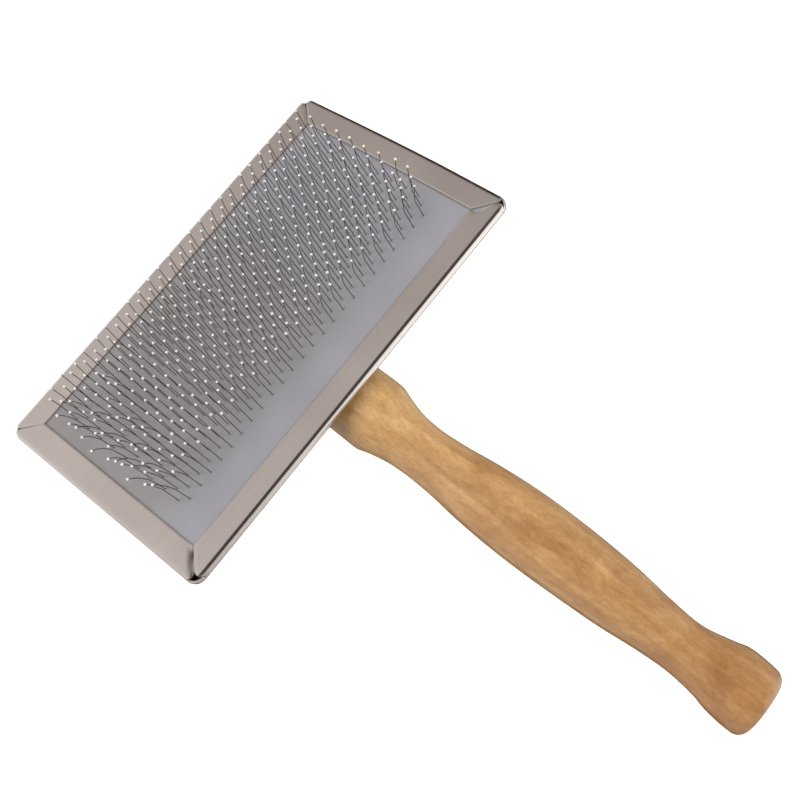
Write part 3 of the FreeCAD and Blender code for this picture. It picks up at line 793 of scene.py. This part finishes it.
def bead(tip, heading, radius, vertices, faces):
    """Adds one bead: a ball drawn out a little where the wire enters it."""
    normal = heading.orthogonal().normalized()
    across = heading.cross(normal)
    # (distance along the wire, radius), as shares of the bead's radius, from its crown down
    outline = [(0.99, 0.16), (0.93, 0.38), (0.78, 0.63), (0.55, 0.84), (0.25, 0.97), (-0.08, 1.0)]
    outline += [(-0.42, 0.90), (-0.72, 0.72), (-1.0, 0.52), (-1.22, 0.40), (-1.34, 0.26)]
    sides = BEAD_SIDES
    start = len(vertices)
    for along, around in outline:
        for side in range(sides):
            angle = math.tau * side / sides
            arm = normal * math.cos(angle) + across * math.sin(angle)
            vertices.append(tip + heading * (along * radius) + arm * (around * radius))
    faces += grid_faces(len(outline), sides, start, closed=True)
    faces.append(tuple(reversed(range(start, start + sides))))
    faces.append(tuple(range(len(vertices) - sides, len(vertices))))


def crown_line(left, right, z):
    """The part of a staple under the pad, from below one foot to below the next."""
    bend = CROWN_BEND
    left, right = Vector(left), Vector(right)
    inward = (right - left).normalized() * bend
    line = []
    for foot, step in ((left, inward), (right, -inward)):
        half = [(foot, PAD_TOP - 0.4 * MM), (foot, z + bend)]
        half += [(foot + 0.3 * step, z + 0.3 * bend), (foot + step, z)]
        part = [Vector((spot.x, spot.y, level)) for spot, level in half]
        line += part if foot is left else part[::-1]
    return line


def near_drift(x, row_number, rows):
    """How far a foot stands nearer the handle than its row: the near rows curve that way at the left end."""
    from_left = min(1.0, max(0.0, (-x - 10.0 * MM) / (30.0 * MM)))
    return NEAR_DRIFT * from_left * (1.0 - row_number / (rows - 1)) ** 1.5


def build_pins():
    """One piece for each row's wires and one for its beads. Returns where the pins stand."""
    chance = random.Random(PINS_SEED)
    rows = pin_rows()
    feet = []
    for number, (row, y, crown_z, xs) in enumerate(rows):
        wire_vertices, wire_faces = [], []
        bead_vertices, bead_faces = [], []
        row_feet = []
        row_splay = chance.uniform(0.95, 1.1) if number % 3 == 0 else chance.uniform(0.5, 0.8)
        for index, x in enumerate(xs):
            foot_x = x + chance.gauss(0.0, 0.06 * MM)
            foot_y = y + chance.gauss(0.0, 0.05 * MM) - near_drift(x, number, len(rows))
            feet.append((foot_x, foot_y))
            row_feet.append((foot_x, foot_y))
            line = bent_pin(foot_x, foot_y, index, len(xs), number, len(rows), row_splay, chance)
            tube(line, WIRE_RADIUS, PIN_SIDES, wire_vertices, wire_faces)
            heading = (line[-1] - line[-3]).normalized()
            size = BEAD_RADIUS * chance.uniform(0.93, 1.06)
            bead(line[-1], heading, size, bead_vertices, bead_faces)
        for left, right in zip(row_feet[0::2], row_feet[1::2]):
            # a crown off the hinge line sits a little higher, to stay clear of the felt as the row rocks
            drift = abs(y - 0.5 * (left[1] + right[1]))
            lift = min(CROWN_LIFT_LIMIT, 0.10 * drift)
            tube(crown_line(left, right, crown_z + lift), WIRE_RADIUS, PIN_SIDES, wire_vertices, wire_faces)
        wires = new_piece(f"wires_{row}", wire_vertices, wire_faces, f"pins_{row}")
        tips = new_piece(f"beads_{row}", bead_vertices, bead_faces, f"pins_{row}")
        shade_by_angle(wires, 50)
        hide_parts(f"pin_row_{row}")
        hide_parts(f"tip_row_{row}")
        wires.data.materials.append(MATERIALS["pin_wire"])
        tips.data.materials.append(MATERIALS["tip_plastic"])
    return feet


# ---------------------------------------------------------------- handle
def station_at(place):
    """Width, thickness and sideways offset of the handle, in mm, at a distance from the pan's near edge."""
    xs = [row[0] for row in HANDLE_STATIONS]
    place = max(xs[0], min(xs[-1], place))
    index = max(i for i in range(len(xs) - 1) if xs[i] <= place)
    results = []
    for column in (1, 2, 3):
        values = [row[column] for row in HANDLE_STATIONS]
        step = xs[index + 1] - xs[index]
        share = (place - xs[index]) / step
        before, after = slope_at(xs, values, index), slope_at(xs, values, index + 1)
        h00 = (1 + 2 * share) * (1 - share) ** 2
        h10 = share * (1 - share) ** 2
        h01 = share * share * (3 - 2 * share)
        h11 = share * share * (share - 1)
        start, end = values[index], values[index + 1]
        results.append(h00 * start + h10 * step * before + h01 * end + h11 * step * after)
    return results


def slope_at(xs, values, index):
    """Slope of the curve through the stations at one of them."""
    low, high = max(index - 1, 0), min(index + 1, len(xs) - 1)
    return (values[high] - values[low]) / (xs[high] - xs[low])


def build_handle():
    """The turned handle, a little uneven from sanding, cut flat where it meets the pan."""
    origin = Vector((0.0, -HALF_WIDTH, -HANDLE_DROP))
    along = Vector((0.0, -math.cos(HANDLE_RAKE), -math.sin(HANDLE_RAKE)))
    up = Vector((0.0, -math.sin(HANDLE_RAKE), math.cos(HANDLE_RAKE)))
    across = Vector((1.0, 0.0, 0.0))
    sides = HANDLE_SIDES
    # slightly squarer than an ellipse, as a handle sanded on four sides
    power = 0.94
    places = []
    place = HANDLE_START
    while place < HANDLE_END - BUTT_RADIUS:
        places.append((place, 0.0))
        place += HANDLE_STEP
    for step in range(BUTT_STEPS + 1):
        angle = math.radians(90 * step / BUTT_STEPS)
        rounding = BUTT_RADIUS * (1 - math.cos(angle))
        places.append((HANDLE_END - BUTT_RADIUS + BUTT_RADIUS * math.sin(angle), rounding))
    vertices = []
    for place, inset in places:
        width, depth, offset = station_at(place)
        half_width, half_depth = width / 2 - inset, depth / 2 - inset
        for side in range(sides):
            angle = math.tau * side / sides
            c, s = math.cos(angle), math.sin(angle)
            x = half_width * math.copysign(abs(c) ** power, c)
            z = half_depth * math.copysign(abs(s) ** power, s)
            wobble = noise.noise(Vector((place * 0.05, c * 0.9, s * 0.9))) * 0.14
            stretch = 1.0 + wobble / max(half_width, 1.0)
            sideways = (offset + x * stretch) * MM
            point = origin + along * (place * MM) + across * sideways + up * (z * stretch * MM)
            vertices.append(point)
    faces = grid_faces(len(places), sides, closed=True)
    faces.append(tuple(reversed(range(sides))))
    faces.append(tuple(range(len(vertices) - sides, len(vertices))))
    handle = new_piece("wooden_handle", vertices, faces)

    cutter = build_seat_cutter()
    cut = handle.modifiers.new("pan seat", "BOOLEAN")
    cut.operation = "DIFFERENCE"
    cut.solver = "EXACT"
    cut.object = cutter
    bpy.context.view_layer.update()
    apply_modifiers(handle)
    bpy.data.objects.remove(cutter)
    remesh = handle.modifiers.new("even mesh", "REMESH")
    remesh.mode = "VOXEL"
    remesh.voxel_size = HANDLE_VOXEL
    smooth = handle.modifiers.new("sanding", "SMOOTH")
    smooth.factor = 0.5
    smooth.iterations = 6
    apply_modifiers(handle)
    handle.data.shade_smooth()
    handle.data.materials.clear()
    return handle


def build_seat_cutter():
    """What is cut from the handle: all above the pan's back, and all past the end of its foot."""
    top = -0.01 * MM
    foot = -HALF_WIDTH + FOOT_REACH
    far = 0.2
    chamfer = 2.0 * MM
    outline = [(-far, top), (foot - chamfer, top), (foot, top - chamfer), (foot, -far)]
    outline += [(far, -far), (far, far), (-far, far)]
    vertices = [(-far, y, z) for y, z in outline] + [(far, y, z) for y, z in outline]
    count = len(outline)
    faces = [tuple(reversed(range(count))), tuple(range(count, 2 * count))]
    for a in range(count):
        b = (a + 1) % count
        faces.append((a, b, b + count, a + count))
    mesh = bpy.data.meshes.new("seat_cutter")
    mesh.from_pydata(vertices, [], faces)
    mesh.validate()
    cutter = bpy.data.objects.new("seat_cutter", mesh)
    bpy.context.scene.collection.objects.link(cutter)
    bpy.context.view_layer.update()
    fix_normals(cutter.data)
    return cutter


def fix_normals(mesh):
    """Turns every face of a closed mesh outward."""
    work = bmesh.new()
    work.from_mesh(mesh)
    bmesh.ops.recalc_face_normals(work, faces=work.faces)
    work.to_mesh(mesh)
    work.free()


# ---------------------------------------------------------------- build
MATERIALS = {
    "stainless_sheet": steel_sheet_material(),
    "pad_rubber": rubber_material(),
    "pin_wire": wire_material(),
    "tip_plastic": bead_material(),
    "lacquered_wood": wood_material(),
    "felt": felt_material(),
    "cloth": cloth_material(),
    "screw_steel": plated_steel_material(),
}


def dress(piece, slot, node=None):
    """Gives a piece its material in a single slot, and hides the CAD node it stands for, if one is named."""
    piece.data.materials.clear()
    piece.data.materials.append(MATERIALS[slot])
    if node:
        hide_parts(node)


pan = build_pan()
fix_normals(pan.data)
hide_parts("head_pan")

feet = build_pins()
rubber = build_rubber_pad(feet)
dress(rubber, "pad_rubber", "rubber_pad")

cloth_low, cloth_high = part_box("foundation_cloth")
cloth = rounded_slab(
    "cloth_sheet", cloth_high.x, cloth_high.y, cloth_low.z, cloth_high.z, LAYER_CORNER, CLOTH_RIM
)
dress(cloth, "cloth", "foundation_cloth")
felt_low, felt_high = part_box("cushion")
felt = rounded_slab(
    "felt_cushion", felt_high.x, felt_high.y, felt_low.z, felt_high.z, LAYER_CORNER, FELT_RIM
)
dress(felt, "felt", "cushion")

handle = build_handle()
dress(handle, "lacquered_wood", "handle")
dress(frame["nodes"]["handle_screws"], "screw_steel")

# ---------------------------------------------------------------- stage, light and camera
floor_mesh = bpy.data.meshes.new("floor")
floor_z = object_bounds()[0].z - 100.0 * MM
floor_mesh.from_pydata(
    [(-FLOOR_HALF, -FLOOR_HALF, floor_z), (FLOOR_HALF, -FLOOR_HALF, floor_z),
     (FLOOR_HALF, FLOOR_HALF, floor_z), (-FLOOR_HALF, FLOOR_HALF, floor_z)],
    [],
    [(0, 1, 2, 3)],
)
floor = bpy.data.objects.new("floor", floor_mesh)
bpy.context.scene.collection.objects.link(floor)


def floor_material():
    """Matt white paper, barely uneven."""
    paint = Paint("white_paper")
    cloud = paint.noise(paint.place, 3.0, 2.0)
    colour = paint.ramp(cloud, (0.2, grey(0.90)), (0.8, grey(0.93)))
    return paint.finish(Base_Color=colour, Roughness=0.95, Specular_IOR_Level=0.1)


floor_mesh.materials.append(floor_material())


def soft_light(name, place, target, width, height, power, tint=(1.0, 1.0, 1.0)):
    """A rectangular soft box that faces a point."""
    data = bpy.data.lights.new(name, "AREA")
    data.shape = "RECTANGLE"
    data.size, data.size_y = width, height
    data.energy = power
    data.color = tint
    lamp = bpy.data.objects.new(name, data)
    lamp.location = place
    lamp.rotation_mode = "QUATERNION"
    lamp.rotation_quaternion = (Vector(target) - Vector(place)).to_track_quat("-Z", "Y")
    bpy.context.scene.collection.objects.link(lamp)
    return lamp


lamps = [
    soft_light("key", (-0.55, 0.15, 0.75), (0, -0.03, 0), 0.5, 0.5, 7.0),
    soft_light("fill", (0.5, -0.55, 0.6), (0, -0.03, 0), 0.6, 0.5, 7.0),
    soft_light("top", (0.0, 0.0, 1.0), (0, 0, 0), 0.8, 0.8, 6.0),
]
for lamp in lamps:
    lamp.visible_glossy = False
floor.visible_glossy = False


def build_world():
    """The studio round the brush, by direction: what the sheet metal mirrors is mostly this."""
    world = bpy.data.worlds.new("studio")
    world.use_nodes = True
    sky = Graph(world.node_tree)
    heading = sky.add("ShaderNodeTexCoord").outputs["Generated"]
    split = sky.add("ShaderNodeSeparateXYZ", {"Vector": heading}).outputs
    x, y, z = split["X"], split["Y"], split["Z"]

    def card(*edges):
        """Where all of the (value, start, end) steps are up: one card's soft-edged patch of sky."""
        mask = sky.step(*edges[0])
        for edge in edges[1:]:
            mask = sky.math("MULTIPLY", mask, sky.step(*edge))
        return mask

    # overhead and beyond: warm grey, brighter toward the left
    colour = sky.mixed(sky.step(x, -0.10, 0.42), (0.86, 0.79, 0.77, 1), (0.50, 0.45, 0.42, 1))
    # a dark card over the near side
    over_near = card((y, 0.22, 0.0), (z, 0.35, 0.62), (x, 0.62, 0.45), (x, -0.55, -0.38))
    colour = sky.mixed(over_near, colour, (0.06, 0.05, 0.05, 1))
    # low in front: grey to the left, bright to the right
    front_colour = sky.mixed(sky.step(x, -0.02, 0.20), (0.62, 0.57, 0.55, 1), (1.6, 1.58, 1.55, 1))
    colour = sky.mixed(card((y, -0.25, -0.42), (z, 0.55, 0.35)), colour, front_colour)
    # a dark card below
    below = card((z, -0.40, -0.60), (y, -0.30, -0.12), (y, 0.55, 0.42), (x, -0.72, -0.62), (x, 0.72, 0.64))
    colour = sky.mixed(below, colour, (0.045, 0.03, 0.025, 1))
    # bright beyond the far edge
    colour = sky.mixed(card((y, 0.55, 0.75), (z, 0.55, 0.30)), colour, (1.3, 1.3, 1.3, 1))
    # a dark card to the far right
    right = card((x, 0.48, 0.60), (y, 0.22, 0.38), (y, 0.82, 0.70), (z, -0.60, -0.42), (z, 0.74, 0.64))
    colour = sky.mixed(right, colour, (0.035, 0.03, 0.035, 1))
    # plain pale where the room itself is in view
    seen = sky.add("ShaderNodeLightPath").outputs["Is Camera Ray"]
    colour = sky.mixed(seen, colour, (0.62, 0.61, 0.605, 1))
    background = sky.tree.nodes["Background"]
    sky.tree.links.new(colour, background.inputs["Color"])
    bpy.context.scene.world = world


build_world()

camera_data = bpy.data.cameras.new("camera")
camera_data.sensor_width = 36.0  # mm
camera_data.lens = 56.79  # mm
camera_data.clip_start = 0.01
camera_data.clip_end = 20.0
camera = bpy.data.objects.new("camera", camera_data)
# The camera stands where the photo was taken from: its three axes, then its place.
right = Vector((0.62137, -0.73803, -0.26309))
above = Vector((0.76154, 0.48989, 0.42435))
behind = Vector((-0.18429, -0.46403, 0.86644))
turn = Matrix((right, above, behind)).transposed()
CAMERA_PLACE = (-0.0428, -0.15228, 0.21481)
camera.matrix_world = Matrix.Translation(CAMERA_PLACE) @ turn.to_4x4()
bpy.context.scene.collection.objects.link(camera)
bpy.context.scene.camera = camera
bpy.context.scene.view_settings.view_transform = "Standard"
